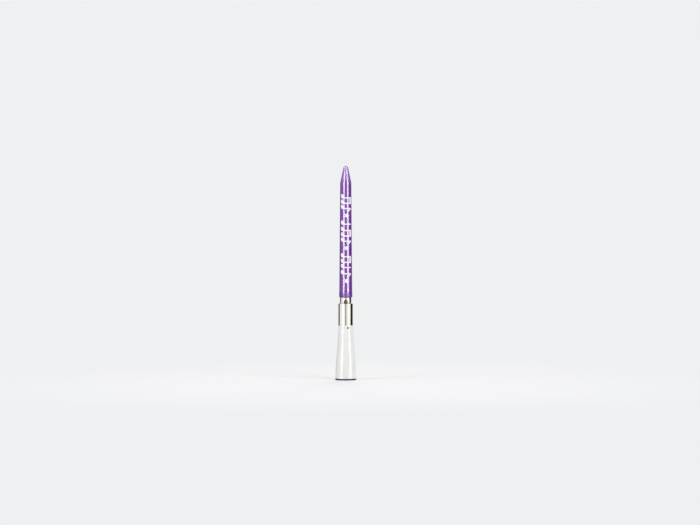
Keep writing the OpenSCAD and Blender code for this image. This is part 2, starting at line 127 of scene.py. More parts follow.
# %% Short chains of nodes
def mixed(tree, factor, first, second):
    """The socket of a colour that goes from the first to the second."""
    return add_node(tree, "ShaderNodeMix", {0: factor, 6: first, 7: second}, data_type="RGBA").outputs[2]


def ranged(tree, value, low, high, to_low=0.0, to_high=1.0, smooth=False):
    """The socket of a value stretched from one range to another, and kept within it."""
    kind = "SMOOTHSTEP" if smooth else "LINEAR"
    return add_node(tree, "ShaderNodeMapRange", {0: value, 1: low, 2: high, 3: to_low, 4: to_high},
                    interpolation_type=kind).outputs[0]


def maths(tree, operation, *values):
    """The socket of a sum, product, sine and so on."""
    return add_node(tree, "ShaderNodeMath", dict(enumerate(values)), operation=operation).outputs[0]


def object_place(tree):
    """The socket of object coordinates, in metres."""
    return add_node(tree, "ShaderNodeTexCoord").outputs["Object"]


def apart(tree, place):
    """The X, Y and Z sockets of a place."""
    return add_node(tree, "ShaderNodeSeparateXYZ", {0: place}).outputs


def together(tree, **axes):
    """The socket of a place with the given X, Y and Z."""
    return add_node(tree, "ShaderNodeCombineXYZ", axes).outputs[0]


def length_of(tree, place):
    """The socket of a place's distance from the origin."""
    return add_node(tree, "ShaderNodeVectorMath", {0: place}, operation="LENGTH").outputs["Value"]


print("chains: mixed, ranged, maths, object_place, apart, together, length_of")

# %% New materials
def new_material(name, **constants):
    """A material, its node tree and its shader, with constant values set on the shader's own sockets."""
    material = bpy.data.materials.new(name)
    material.use_nodes = True
    shader = material.node_tree.nodes["Principled BSDF"]
    feed(material.node_tree, shader, {key.replace("_", " "): value for key, value in constants.items()})
    return material, material.node_tree, shader


print("material helpers ready")

# %% [markdown]
# ## The studio
# The candle stands on a plain pale floor that runs out into white. A large plane would show a horizon, so the
# floor fades from a real, shadowed surface near the candle to the backdrop's own colour further out. The
# world shows that colour to the camera, to metal and to glass, and is dimmer as a source of light.
# Reflections look through the floor, so that a highlight seen from above need not stop where it begins.

# %% World
BACKDROP = colour("eff0f2")
AMBIENT_STRENGTH = 0.50


def shown_directly(tree):
    """A mask that is 1 for rays from the camera, from reflections and from glass."""
    path = add_node(tree, "ShaderNodeLightPath").outputs
    total = maths(tree, "ADD", path["Is Camera Ray"], path["Is Glossy Ray"])
    return maths(tree, "MINIMUM", maths(tree, "ADD", total, path["Is Transmission Ray"]), 1.0)


world = bpy.data.worlds.new("studio")
scene.world = world
world.use_nodes = True
tree = world.node_tree
tree.nodes.clear()
ambient = add_node(tree, "ShaderNodeBackground", {"Color": (1, 1, 1, 1), "Strength": AMBIENT_STRENGTH})
backdrop = add_node(tree, "ShaderNodeBackground", {"Color": BACKDROP, "Strength": 1.0})
choice = add_node(tree, "ShaderNodeMixShader",
                  {0: shown_directly(tree), 1: ambient.outputs[0], 2: backdrop.outputs[0]})
add_node(tree, "ShaderNodeOutputWorld", {"Surface": choice.outputs[0]})
print("backdrop:", [round(value, 2) for value in BACKDROP], "ambient light:", AMBIENT_STRENGTH)

# %% Floor
FLOOR_HALF = 3.0
FADE_START, FADE_END = 0.06, 0.30


def staged(name, points, faces, material):
    """A plain sheet that belongs to the studio, not to the candle."""
    mesh = bpy.data.meshes.new(name)
    mesh.from_pydata(points, [], faces)
    mesh.materials.append(material)
    sheet = linked(name, mesh)
    return sheet


floor_material, tree, shader = new_material("pale_floor", Roughness=0.9, Specular_IOR_Level=0.0)
place = object_place(tree)
dust = add_node(tree, "ShaderNodeTexNoise", {"Vector": place, "Scale": 40.0, "Detail": 3.0})
feed(tree, shader, {"Base Color": mixed(tree, dust.outputs[0], colour("f0f0f2"), colour("f4f4f5"))})
fade = ranged(tree, length_of(tree, place), FADE_START, FADE_END, smooth=True)
far_white = add_node(tree, "ShaderNodeEmission", {"Color": BACKDROP, "Strength": 1.0})
surface = add_node(tree, "ShaderNodeMixShader", {0: maths(tree, "MULTIPLY", fade, shown_directly(tree)),
                                                 1: shader.outputs[0], 2: far_white.outputs[0]})
feed(tree, tree.nodes["Material Output"], {"Surface": surface.outputs[0]})

corners = [(x * FLOOR_HALF, y * FLOOR_HALF, 0.0) for x, y in ((-1, -1), (1, -1), (1, 1), (-1, 1))]
floor = staged("floor", corners, [(0, 1, 2, 3)], floor_material)
floor.visible_glossy = floor.visible_shadow = False
print("floor fades out between", FADE_START, "and", FADE_END, "m")

# %% [markdown]
# ## Lights and flags
# Glossy wax and chrome are drawn by what they reflect. A tall strip on each side gives the two upright
# highlights; it lights reflections alone, so it can't bleach the colours. Wax and plastic reflect far less
# than chrome, so each gets a brighter pair that light linking keeps to it, and the base a pale card as well.
# Large soft lights give the plain level, and black flags draw the chrome's dark lines.

# %% Lamp helpers
SOFT_AIM = 0.06
SOFT_DISTANCE, SOFT_SIZE = 0.7, 0.5
STRIP_HALF = 0.6


def around(angle, distance, height):
    """A point at an angle from the front in degrees, positive to the right."""
    turn = math.radians(angle)
    return Vector((math.sin(turn) * distance, -math.cos(turn) * distance, height))


def panel_light(name, place, width, height, power, in_reflections):
    """A panel that faces the candle, and lights either what is reflected or what is matt."""
    data = bpy.data.lights.new(name, "AREA")
    data.shape = "RECTANGLE"
    data.size, data.size_y, data.energy = width, height, power
    lamp = linked(name, data)
    lamp.location = place
    aim = Vector((0, 0, place.z if in_reflections else SOFT_AIM)) - place
    lamp.rotation_euler = aim.to_track_quat("-Z", "Y").to_euler()
    lamp.visible_camera = False
    lamp.visible_diffuse, lamp.visible_glossy = not in_reflections, in_reflections
    return lamp


def strip(name, angle, distance, width, brightness):
    """A tall strip for reflections alone, which reaches as far below the floor as above it."""
    power = brightness * math.pi * width * 2 * STRIP_HALF
    return panel_light(name, around(angle, distance, 0.0), width, 2 * STRIP_HALF, power, True)


print("strips reach", STRIP_HALF, "m above and below the floor")

# %% Lamps
strip("strip_right", 45, distance=0.47, width=0.10, brightness=1.1)
strip("strip_left", -40, distance=0.47, width=0.10, brightness=1.1)
wax_glints = [strip("wax_glint_right", 40, distance=0.45, width=0.20, brightness=9.6),
              strip("wax_glint_left", -36, distance=0.45, width=0.20, brightness=8.4)]
base_glints = [strip("base_glint_right", 57, distance=0.43, width=0.16, brightness=6.0),
               strip("base_glint_left", -50, distance=0.43, width=0.16, brightness=5.0),
               strip("base_card", 104, distance=0.10, width=0.10, brightness=1.0)]
for name, angle, height, power in (("right_soft", 35, 0.45, 2.0), ("left_soft", -50, 0.40, 1.6),
                                   ("back_soft", 172, 0.45, 1.8)):
    panel_light(name, around(angle, SOFT_DISTANCE, height), SOFT_SIZE, SOFT_SIZE, power, False)
panel_light("top_soft", Vector((0.0, 0.1, 0.8)), 0.6, 0.6, 1.2, False)

# %% Flags
FLAG_DISTANCE, FLAG_STEPS = 0.12, 12
flag_material, tree, shader = new_material("black_cloth", Roughness=0.9, Specular_IOR_Level=0.0)
weave = add_node(tree, "ShaderNodeTexNoise", {"Vector": object_place(tree), "Scale": 300.0})
feed(tree, shader, {"Base Color": mixed(tree, weave.outputs[0], colour("2a2823"), colour("312e28"))})
for name, first, last in (("right_flag", 76, 130), ("left_flag", -150, -105)):
    points = [around(first + (last - first) * i / FLAG_STEPS, FLAG_DISTANCE, z)
              for i in range(FLAG_STEPS + 1) for z in (-STRIP_HALF, STRIP_HALF)]
    faces = [(2 * i, 2 * i + 1, 2 * i + 3, 2 * i + 2) for i in range(FLAG_STEPS)]
    card = staged(name, points, faces, flag_material)
    card.visible_camera = card.visible_diffuse = card.visible_transmission = card.visible_shadow = False
    print(name, "from", first, "to", last, "degrees")

# %% [markdown]
# ## Helpers for shapes
# Most outer pieces were turned, dipped or moulded round one axis, so a lathe makes them: it spins a profile
# of radius and height. Real edges are never sharp, so the profile's corners are written with a radius each.
# Holes are drilled with Booleans, and the result is turned back into a plain mesh.

# %% Profiles
LONGEST_ROUNDING = 0.49


def rounded(corners, steps=6):
    """Corners of (radius, height, rounding), all in mm, as profile points in metres."""
    points = []
    for i, (x, z, rounding) in enumerate(corners):
        here = Vector((x, z))
        if rounding == 0 or i in (0, len(corners) - 1):
            points.append(here * MM)
            continue
        arms = [Vector(corners[j][:2]) - here for j in (i - 1, i + 1)]
        shortest = min(arm.length for arm in arms)
        reach = min(rounding / math.tan(arms[0].angle(arms[1]) / 2), LONGEST_ROUNDING * shortest)
        start, end = (here + arm.normalized() * reach for arm in arms)
        for t in (k / steps for k in range(steps + 1)):
            points.append((start * (1 - t) ** 2 + here * 2 * t * (1 - t) + end * t ** 2) * MM)
    return points


print("a rounded corner has", len(rounded([(0, 0, 0), (1, 0, 0.2), (1, 1, 0)])) - 2, "points")

# %% The lathe
ORIGIN = Vector((0.0, 0.0, 0.0))
MERGE = 1e-7
SMOOTH_ANGLE = math.radians(32)


def smoothed(mesh):
    """Smooth shading that keeps the mesh's real edges."""
    mesh.polygons.foreach_set("use_smooth", [True] * len(mesh.polygons))
    mesh.set_sharp_from_angle(angle=SMOOTH_ANGLE)
    return mesh


def mesh_of(shape, name):
    """A mesh from a bmesh, which is freed."""
    mesh = bpy.data.meshes.new(name)
    shape.to_mesh(mesh)
    shape.free()
    return mesh


def new_piece(name, mesh, material):
    """A mesh with one material, as an object."""
    mesh.materials.clear()
    mesh.materials.append(material)
    return linked(name, mesh)


def spun_mesh(name, profile, segments, centre=ORIGIN, closed=False):
    """A profile of (radius, height) points spun round an upright axis through the centre."""
    shape = bmesh.new()
    turns = [2 * math.pi * k / segments for k in range(segments)]
    rings = []
    for radius, height in profile:
        if radius < MERGE:
            rings.append([shape.verts.new(centre + Vector((0, 0, height)))] * segments)
            continue
        spots = [Vector((radius * math.cos(a), radius * math.sin(a), height)) for a in turns]
        rings.append([shape.verts.new(centre + spot) for spot in spots])
    for lower, upper in zip(rings, rings[1:] + ([rings[0]] if closed else [])):
        for k in range(segments):
            after = (k + 1) % segments
            loop = list(dict.fromkeys((lower[k], lower[after], upper[after], upper[k])))
            if len(loop) > 2:
                shape.faces.new(loop)
    bmesh.ops.recalc_face_normals(shape, faces=shape.faces)
    return smoothed(mesh_of(shape, name))


def spun(name, profile, material, segments=128, centre=ORIGIN, closed=False):
    return new_piece(name, spun_mesh(name, profile, segments, centre, closed), material)


print("the lathe keeps edges over", round(math.degrees(SMOOTH_ANGLE)), "degrees sharp")

# %% Cutting
def settled(piece):
    """Turn a piece and its modifiers into one plain mesh."""
    graph = bpy.context.evaluated_depsgraph_get()
    mesh = bpy.data.meshes.new_from_object(piece.evaluated_get(graph))
    mesh.name = piece.name
    piece.modifiers.clear()
    piece.data = mesh
    return piece


def drilled(piece, cutters):
    """The piece with the cutters' shapes taken out of it."""
    for cutter in cutters:
        cut = piece.modifiers.new("cut", "BOOLEAN")
        cut.operation, cut.solver, cut.object = "DIFFERENCE", "EXACT", cutter
    settled(piece)
    for cutter in cutters:
        bpy.data.objects.remove(cutter, do_unlink=True)
    smoothed(piece.data)
    return piece


def rod_cutter(radius, length, centre, direction):
    """A round cutter, in mm, whose middle is at the centre."""
    shape = bmesh.new()
    turn = Vector((0, 0, 1)).rotation_difference(Vector(direction)).to_matrix().to_4x4()
    bmesh.ops.create_cone(shape, cap_ends=True, segments=48, radius1=radius * MM, radius2=radius * MM,
                          depth=length * MM, matrix=Matrix.Translation(Vector(centre) * MM) @ turn)
    return new_piece("rod_cutter", mesh_of(shape, "rod_cutter"), None)


def box_cutter(low, high):
    """A box cutter between two corners, in mm."""
    shape = bmesh.new()
    low, high = Vector(low) * MM, Vector(high) * MM
    size = Matrix.Diagonal((*(high - low), 1))
    bmesh.ops.create_cube(shape, size=1.0, matrix=Matrix.Translation((low + high) / 2) @ size)
    return new_piece("box_cutter", mesh_of(shape, "box_cutter"), None)


print("cutters ready: rods and boxes")

# %% Softening and placing
FLAT_ANGLE, SHARP_ANGLE = math.radians(0.5), math.radians(40)
CLOSE = 1e-6


def softened(node, name, material, edge=0.0):
    """A merged copy of a CAD node, with its sharp edges rounded by so many mm."""
    shape = bmesh.new()
    shape.from_mesh(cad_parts[node].data)
    bmesh.ops.remove_doubles(shape, verts=shape.verts, dist=CLOSE)
    bmesh.ops.dissolve_limit(shape, angle_limit=FLAT_ANGLE, verts=shape.verts, edges=shape.edges)
    if edge:
        sharp = [e for e in shape.edges if len(e.link_faces) == 2 and e.calc_face_angle() > SHARP_ANGLE]
        bmesh.ops.bevel(shape, geom=sharp, offset=edge * MM, segments=2, profile=0.5, affect="EDGES",
                        clamp_overlap=True)
    return new_piece(name, smoothed(mesh_of(shape, name)), material)


def placed(piece, body, slot, *nodes):
    """Let a piece move with its body and stand for its CAD nodes; its slot is not used."""
    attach(piece, body)
    if nodes:
        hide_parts(*nodes)
    spans = [max(axis) - min(axis) for axis in zip(*(v.co for v in piece.data.vertices))]
    print(piece.name, "on", body, "faces", len(piece.data.polygons), "size, mm:", in_mm([spans])[0])
    return piece


print("edges over", round(math.degrees(SHARP_ANGLE)), "degrees are softened")

# %% [markdown]
# ## Shared surface effects
# No real finish is one flat colour. Three effects come back in many materials, so each is a node group that
# is built once: a soft mottling of two colours, a fine surface that varies the gloss and the bump, and a fade
# along the height. They read object coordinates in metres, so a scale of 1000 means one blotch per mm.

# %% Group helpers
BUMP_HEIGHT = 0.03 * MM
NOISE_LOW, NOISE_HIGH = 0.3, 0.7


def new_group(name, inputs, outputs):
    """An empty shader group with named inputs and outputs, its inputs' sockets and its end node."""
    group = bpy.data.node_groups.new(name, "ShaderNodeTree")
    for label, value in inputs.items():
        kind = "NodeSocketColor" if isinstance(value, tuple) else "NodeSocketFloat"
        group.interface.new_socket(label, in_out="INPUT", socket_type=kind).default_value = value
    for label, kind in outputs.items():
        group.interface.new_socket(label, in_out="OUTPUT", socket_type=kind)
    return group, group.nodes.new("NodeGroupInput").outputs, group.nodes.new("NodeGroupOutput")


def noise_at(tree, scale, stretch, detail):
    """Noise on object coordinates; a stretch below 1 draws the blotches out along the height."""
    place = apart(tree, object_place(tree))
    drawn = together(tree, X=place["X"], Y=place["Y"], Z=maths(tree, "MULTIPLY", place["Z"], stretch))
    return add_node(tree, "ShaderNodeTexNoise",
                    {"Vector": drawn, "Scale": scale, "Detail": detail, "Roughness": 0.55}).outputs[0]


print("bump height, mm:", BUMP_HEIGHT / MM)

# %% Node groups
mottle, ins, outs = new_group(
    "mottle", {"Light": (1, 1, 1, 1), "Dark": (0.5, 0.5, 0.5, 1), "Scale": 300.0, "Stretch": 1.0},
    {"Colour": "NodeSocketColor"})
blotches = ranged(mottle, noise_at(mottle, ins["Scale"], ins["Stretch"], 4.0), NOISE_LOW, NOISE_HIGH)
feed(mottle, outs, {"Colour": mixed(mottle, blotches, ins["Dark"], ins["Light"])})

fine_surface, ins, outs = new_group(
    "fine_surface", {"Scale": 2000.0, "Stretch": 1.0, "Smoothest": 0.2, "Roughest": 0.4, "Depth": 0.2},
    {"Roughness": "NodeSocketFloat", "Normal": "NodeSocketVector"})
height = noise_at(fine_surface, ins["Scale"], ins["Stretch"], 5.0)
gloss = ranged(fine_surface, height, NOISE_LOW, NOISE_HIGH, ins["Smoothest"], ins["Roughest"])
bump = add_node(fine_surface, "ShaderNodeBump",
                {"Height": height, "Strength": ins["Depth"], "Distance": BUMP_HEIGHT})
feed(fine_surface, outs, {"Roughness": gloss, "Normal": bump.outputs[0]})

height_fade, ins, outs = new_group("height_fade", {"Bottom": 0.0, "Top": 1.0}, {"Mask": "NodeSocketFloat"})
climb = ranged(height_fade, apart(height_fade, object_place(height_fade))["Z"], ins["Bottom"], ins["Top"],
               smooth=True)
feed(height_fade, outs, {"Mask": climb})
print("groups:", [group.name for group in bpy.data.node_groups])

# %% Finishes from the groups
def use_group(tree, group, **values):
    """Place a group in a material with its own values, and hand back its outputs."""
    return add_node(tree, "ShaderNodeGroup", values, node_tree=group).outputs


def finish(name, light, dark, scale, grain, rough, depth, stretch=1.0, grain_stretch=1.0, **constants):
    """A material of mottled colour over a fine surface, with its tree, its shader and its colour's socket."""
    material, tree, shader = new_material(name, **constants)
    tint = use_group(tree, mottle, Light=colour(light), Dark=colour(dark), Scale=scale,
                     Stretch=stretch)["Colour"]
    skin = use_group(tree, fine_surface, Scale=grain, Stretch=grain_stretch, Smoothest=rough[0],
                     Roughest=rough[1], Depth=depth)
    feed(tree, shader, {"Base Color": tint, "Roughness": skin["Roughness"], "Normal": skin["Normal"]})
    return material, tree, shader, tint


def plain(*colours, **values):
    """A finish that needs nothing more, as the material alone."""
    return finish(*colours, **values)[0]


print("finishes take two colours, their scale, a grain, the range of the gloss and the depth of the bump")

# %% [markdown]
# ## Outer finishes
# The wax is dyed right through and lacquered: a violet with a faint cloudiness, drawn out along the candle.
# Its colour is painted paler at the thin tip, where light gets through, as painted light, and painted darker
# at the foot, as painted shade where it sits in the neck; the foot is also dull, as it was warmed to seat it.
# The print is a satin ink, the ferrule bright chrome with faint rolling marks, the base a glossy white
# plastic.

# %% Wax, ink and cotton
TIP_PAINTED_LIGHT_FROM, TIP_PAINTED_LIGHT_TO, TIP_PAINTED_LIGHT = 118 * MM, 132 * MM, 0.55
FOOT_SHADE_AND_DULL_FROM, FOOT_SHADE_AND_DULL_TO, FOOT_ROUGHNESS = 55 * MM, 52.2 * MM, 0.42
FOOT_COAT, WAX_COAT = 0.05, 0.8
wax, tree, shader, dye = finish("dyed_wax", "75349b", "66298b", scale=220.0, grain=700.0, rough=(0.10, 0.18),
                                depth=0.22, stretch=0.25, grain_stretch=0.12, IOR=1.5, Subsurface_Weight=0.12,
                                Subsurface_Scale=1.2 * MM, Coat_IOR=1.6, Coat_Roughness=0.06)
# Painted light: towards the thin tip the base colour is mixed towards a pale lilac.
tip_light_mask = use_group(tree, height_fade, Bottom=TIP_PAINTED_LIGHT_FROM, Top=TIP_PAINTED_LIGHT_TO)["Mask"]
painted_tip_light = mixed(tree, maths(tree, "MULTIPLY", tip_light_mask, TIP_PAINTED_LIGHT), dye, colour("c3a0dc"))
above_shaded_dull_foot = use_group(tree, height_fade, Bottom=FOOT_SHADE_AND_DULL_TO, Top=FOOT_SHADE_AND_DULL_FROM)["Mask"]
dull = ranged(tree, above_shaded_dull_foot, 0.0, 1.0, FOOT_ROUGHNESS, 0.0)
skin_gloss = shader.inputs["Roughness"].links[0].from_socket
# Painted shade: the base colour turns darker at the foot, where the wax sits in the neck; the higher roughness
# and thinner coat there are the dull finish.
feed(tree, shader, {"Base Color": mixed(tree, above_shaded_dull_foot, colour("5e2784"), painted_tip_light),
                    "Roughness": maths(tree, "MAXIMUM", dull, skin_gloss),
                    "Coat Weight": ranged(tree, above_shaded_dull_foot, 0.0, 1.0, FOOT_COAT, WAX_COAT)})

ink = plain("white_ink", "fbf9fc", "f1edf4", scale=900.0, grain=3500.0, rough=(0.32, 0.46), depth=0.08)
cotton = plain("waxed_cotton", "f8f6f1", "e6e1d6", scale=2600.0, grain=6000.0, rough=(0.6, 0.85), depth=0.5,
               stretch=0.4, Sheen_Weight=0.25)
print("soft finishes:", wax.name, ink.name, cotton.name)

# %% Chrome, plastics and clear fibre
MOULDED = dict(scale=500.0, grain=3500.0, rough=(0.38, 0.55), depth=0.2)
chrome = plain("bright_chrome", "fcf9ef", "f2efe4", scale=260.0, grain=1800.0, rough=(0.05, 0.11),
               depth=0.015, stretch=0.2, grain_stretch=0.05, Metallic=1.0)
white_gloss = plain("gloss_white", "ededea", "e6e6e3", scale=160.0, grain=1400.0, rough=(0.14, 0.22),
                    depth=0.03, Subsurface_Weight=0.08, Subsurface_Scale=0.8 * MM)
black_plastic = plain("black_plastic", "1b1b1c", "121213", **MOULDED)
clear_plastic, tree, shader = new_material("clear_fibre", Transmission_Weight=1.0, IOR=1.49, Metallic=0.0)
clear = use_group(tree, mottle, Light=colour("ffffff"), Dark=colour("f2f6ff"), Scale=500.0)
polish = use_group(tree, fine_surface, Smoothest=0.02, Roughest=0.06, Depth=0.0)
feed(tree, shader, {"Base Color": clear["Colour"], "Roughness": polish["Roughness"]})
print("hard finishes:", chrome.name, white_gloss.name, black_plastic.name, clear_plastic.name)

# %% [markdown]
# ## The wax
# The candle is cast as one slim, slightly tapered rod that closes to a blunt point, with a stub below that
# plugs into the base. A subdivided cylinder could be shaped by hand, but the lathe follows the real taper
# exactly. The wax climbs a little up the wick at the tip, as it does where it set round the cotton.

# %% Wax body
STUB_R, WICK_R = 2.7, 0.6
WAX_FOOT_R, WAX_TOP_R, WAX_TIP_R = 4.1, 3.5, 1.4
FOOT_ROUNDING, TIP_LENGTH, TIP_SOFTNESS, TIP_ROUND = 1.2, 10.5, 0.08, 0.8
CLIMB, CLIMB_R = 0.45, 0.78


def box_mm(node):
    """A CAD node's lowest and highest corner in mm."""
    return [Vector(corner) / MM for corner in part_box(node)]


STUB_FOOT, WAX_TIP = (corner.z for corner in box_mm("candle_wax"))
WAX_FOOT = box_mm("ferrule")[1].z + 0.05
TAPER_FOOT, TIP_START = WAX_FOOT + FOOT_ROUNDING, WAX_TIP - TIP_LENGTH


def evenly(first, last, steps):
    """Values from the first to the last in even steps, both ends included."""
    return [first + (last - first) * i / steps for i in range(steps + 1)]


def wax_radius(z):
    """Radius of the wax at a height, both in mm."""
    if z < TIP_START:
        return WAX_FOOT_R + (WAX_TOP_R - WAX_FOOT_R) * (z - TAPER_FOOT) / (TIP_START - TAPER_FOOT)
    t = (z - TIP_START) / TIP_LENGTH
    closing = (math.hypot(t, TIP_SOFTNESS) - TIP_SOFTNESS) / (math.hypot(1, TIP_SOFTNESS) - TIP_SOFTNESS)
    return WAX_TOP_R - (WAX_TOP_R - WAX_TIP_R) * closing


stub = rounded([(0, STUB_FOOT, 0), (STUB_R, STUB_FOOT, 0.4), (STUB_R, WAX_FOOT, 0.15),
                (WAX_FOOT_R, WAX_FOOT, FOOT_ROUNDING), (WAX_FOOT_R, WAX_FOOT + 2.6, 0)])[:-1]
heights = evenly(TAPER_FOOT, TIP_START, 24)[1:-1] + evenly(TIP_START, WAX_TIP - TIP_ROUND, 28)
body = [Vector((wax_radius(z), z)) * MM for z in heights]
point = rounded([(wax_radius(heights[-1]), heights[-1], 0), (WAX_TIP_R - 0.03, WAX_TIP - 0.04, 0.8),
                 (CLIMB_R, WAX_TIP, 0.3), (WICK_R, WAX_TIP + CLIMB, 0.12), (0, WAX_TIP + CLIMB, 0)])[1:]
candle_body = spun("candle_body", stub + body + point, wax, segments=144)
placed(candle_body, "candle", "purple_wax", "candle_wax")

# %% [markdown]
# ## The wick
# A candle's wick is spun from a few cotton strands. Drawing each by hand would be slow, so a small
# Geometry Nodes tree does it: one straight line is copied once per strand, each copy is wound into a helix,
# and a round section runs along it. The lean bends the free end a little, as soft cotton does.

# %% Geometry Nodes helpers
def new_tools(name, sizes):
    """A Geometry Nodes tree with named sizes, its inputs' sockets and its end node."""
    tree = bpy.data.node_groups.new(name, "GeometryNodeTree")
    tree.interface.new_socket("Geometry", in_out="INPUT", socket_type="NodeSocketGeometry")
    for label, value in sizes.items():
        kind = "NodeSocketInt" if isinstance(value, int) else "NodeSocketFloat"
        tree.interface.new_socket(label, in_out="INPUT", socket_type=kind)
    tree.interface.new_socket("Geometry", in_out="OUTPUT", socket_type="NodeSocketGeometry")
    return tree, tree.nodes.new("NodeGroupInput").outputs, tree.nodes.new("NodeGroupOutput")


def step(tree, kind, inputs=None, **settings):
    """The first output of a new Geometry Nodes node."""
    return add_node(tree, "GeometryNode" + kind, inputs, **settings).outputs[0]


def ending(tree, geometry, material, group_output):
    """The last steps of a tree: smooth shading, real meshes, and the material, whose node is handed back."""
    geometry = step(tree, "RealizeInstances", {0: step(tree, "SetShadeSmooth", {0: geometry})})
    dressed = step(tree, "SetMaterial", {0: geometry, "Material": material})
    feed(tree, group_output, {0: dressed})
    return dressed.node


def grown(piece, tree, sizes):
    """Run a tree on a piece with its sizes, and keep the result as a plain mesh."""
    modifier = piece.modifiers.new(tree.name, "NODES")
    modifier.node_group = tree
    for item in tree.interface.items_tree:
        if item.in_out == "INPUT" and item.name in sizes:
            modifier[item.identifier] = sizes[item.name]
    return settled(piece)


print("tools for grown pieces ready")

# %% Wick strands
wick_low, wick_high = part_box("wick")
wick_sizes = {"Bottom": wick_low[2], "Top": wick_high[2] - 0.02 * MM, "Strands": 3,
              "Strand radius": 0.31 * MM, "Winding radius": 0.28 * MM, "Pitch": 3.4 * MM,
              "Lean": 0.35 * MM, "Lean from": WAX_TIP * MM}
tree, sizes, group_output = new_tools("wick_strands", wick_sizes)
line = step(tree, "CurvePrimitiveLine",
            {"Start": together(tree, Z=sizes["Bottom"]), "End": together(tree, Z=sizes["Top"])})
fine_line = step(tree, "ResampleCurve", {"Curve": line, "Count": 420})
copies = step(tree, "DuplicateElements", {"Geometry": fine_line, "Amount": sizes["Strands"]}, domain="SPLINE")
height = apart(tree, step(tree, "InputPosition"))["Z"]
share = maths(tree, "DIVIDE", copies.node.outputs["Duplicate Index"], sizes["Strands"])
turns = maths(tree, "ADD", maths(tree, "DIVIDE", height, sizes["Pitch"]), share)
angle = maths(tree, "MULTIPLY", turns, 2 * math.pi)
above = maths(tree, "MAXIMUM", maths(tree, "SUBTRACT", height, sizes["Lean from"]), 0.0)
free = maths(tree, "DIVIDE", above, maths(tree, "SUBTRACT", sizes["Top"], sizes["Lean from"]))
bend = maths(tree, "MULTIPLY", maths(tree, "MULTIPLY", free, free), sizes["Lean"])
across = maths(tree, "MULTIPLY", maths(tree, "COSINE", angle), sizes["Winding radius"])
inward = maths(tree, "MULTIPLY", maths(tree, "SINE", angle), sizes["Winding radius"])
winding = together(tree, X=maths(tree, "ADD", across, bend), Y=inward)
wound = step(tree, "SetPosition", {"Geometry": copies, "Offset": winding})
section = step(tree, "CurvePrimitiveCircle", {"Resolution": 12, "Radius": sizes["Strand radius"]})
strands = step(tree, "CurveToMesh", {"Curve": wound, "Profile Curve": section, "Fill Caps": True})
ending(tree, strands, cotton, group_output)

twisted_wick = new_piece("twisted_wick", bpy.data.meshes.new("twisted_wick"), cotton)
placed(grown(twisted_wick, tree, wick_sizes), "candle", "cotton_wick", "wick")

# %% [markdown]
# ## The clear fibre
# Beside the wick runs a thin clear plastic fibre that leads the flame's light down to the sensor. It is a
# plain strand with polished, slightly rounded ends, so the lathe makes it as well, round its own axis.

# %% Clear fibre
def own_axis(low, high):
    """The upright axis in the middle of a box in mm, as a point in metres."""
    return Vector((0, (low.y + high.y) / 2, 0)) * MM


low, high = box_mm("optical_fibre")
FIBRE_R = (high.x - low.x) / 2
strand = rounded([(0, low.z, 0), (FIBRE_R, low.z, 0.12), (FIBRE_R, high.z, 0.12), (0, high.z, 0)])
clear_strand = spun("clear_strand", strand, clear_plastic, segments=32, centre=own_axis(low, high))
placed(clear_strand, "candle", "clear_fibre", "optical_fibre")

# %% [markdown]
# ## The print
# A white print runs down the front of the wax, turned on its side: a plain row of notes and stars. An image
# would be easy but can't be reused, and overlapping plates would fight. So each mark is a distance field, the
# fields are joined, and the inside is cut out of a fine grid that is wrapped round the tapered wax.

# %% Notes
HEAD_HALF_LENGTH, HEAD_HALF_HEIGHT, HEAD_TILT = 1.75, 1.3, math.radians(22)
STEM_X, STEM_TOP, STEM_WIDTH = 1.3, 7.2, 0.95
TAIL_BEND, TAIL_END = (2.9, 5.6), (3.1, 4.2)
BEAM_LENGTH, BEAM_WIDTH, BEAM_DROP = 4.3, 1.3, 0.5


def bar(x, y, start, end, width):
    """Distance to a stroke with round ends."""
    (ax, ay), (bx, by) = start, end
    along = np.clip(((x - ax) * (bx - ax) + (y - ay) * (by - ay)) / ((bx - ax) ** 2 + (by - ay) ** 2), 0, 1)
    return np.hypot(x - ax - along * (bx - ax), y - ay - along * (by - ay)) - width / 2


def quarter_note(x, y):
    """Distance to a stem with an oval head, tilted as a written note is."""
    across = x * math.cos(HEAD_TILT) + y * math.sin(HEAD_TILT)
    up = y * math.cos(HEAD_TILT) - x * math.sin(HEAD_TILT)
    head = (np.hypot(across / HEAD_HALF_LENGTH, up / HEAD_HALF_HEIGHT) - 1) * HEAD_HALF_HEIGHT
    return np.minimum(head, bar(x, y, (STEM_X, 0.4), (STEM_X, STEM_TOP), STEM_WIDTH))


def eighth_note(x, y):
    tail = np.minimum(bar(x, y, (STEM_X, STEM_TOP), TAIL_BEND, 1.05), bar(x, y, TAIL_BEND, TAIL_END, 0.95))
    return np.minimum(quarter_note(x, y), tail)


def joined_notes(x, y):
    beams = [bar(x, y, (STEM_X, top), (STEM_X + BEAM_LENGTH, top), BEAM_WIDTH)
             for top in (STEM_TOP, STEM_TOP - BEAM_DROP)]
    return np.minimum.reduce([quarter_note(x, y), quarter_note(x - BEAM_LENGTH, y)] + beams)


print("a note is", STEM_TOP, "units high, its head", 2 * HEAD_HALF_LENGTH, "long")

# %% Stars and the row of marks
STAR_OUTER, STAR_INNER, STAR_X, STAR_THINNING = 2.7, 1.2, 0.7, 0.1


def star(x, y):
    """Distance to a five-pointed star in the middle of the row."""
    x, y = x - STAR_X, y - STEM_TOP / 2
    sector = 2 * math.pi / 5
    angle = np.abs((np.arctan2(x, y) + sector / 2) % sector - sector / 2)
    px, py = np.hypot(x, y) * np.sin(angle), np.hypot(x, y) * np.cos(angle)
    ix, iy = STAR_INNER * math.sin(sector / 2), STAR_INNER * math.cos(sector / 2)
    outside = (ix * (STAR_OUTER - py) - px * (STAR_OUTER - iy)) / -math.hypot(ix, STAR_OUTER - iy)
    return outside + STAR_THINNING


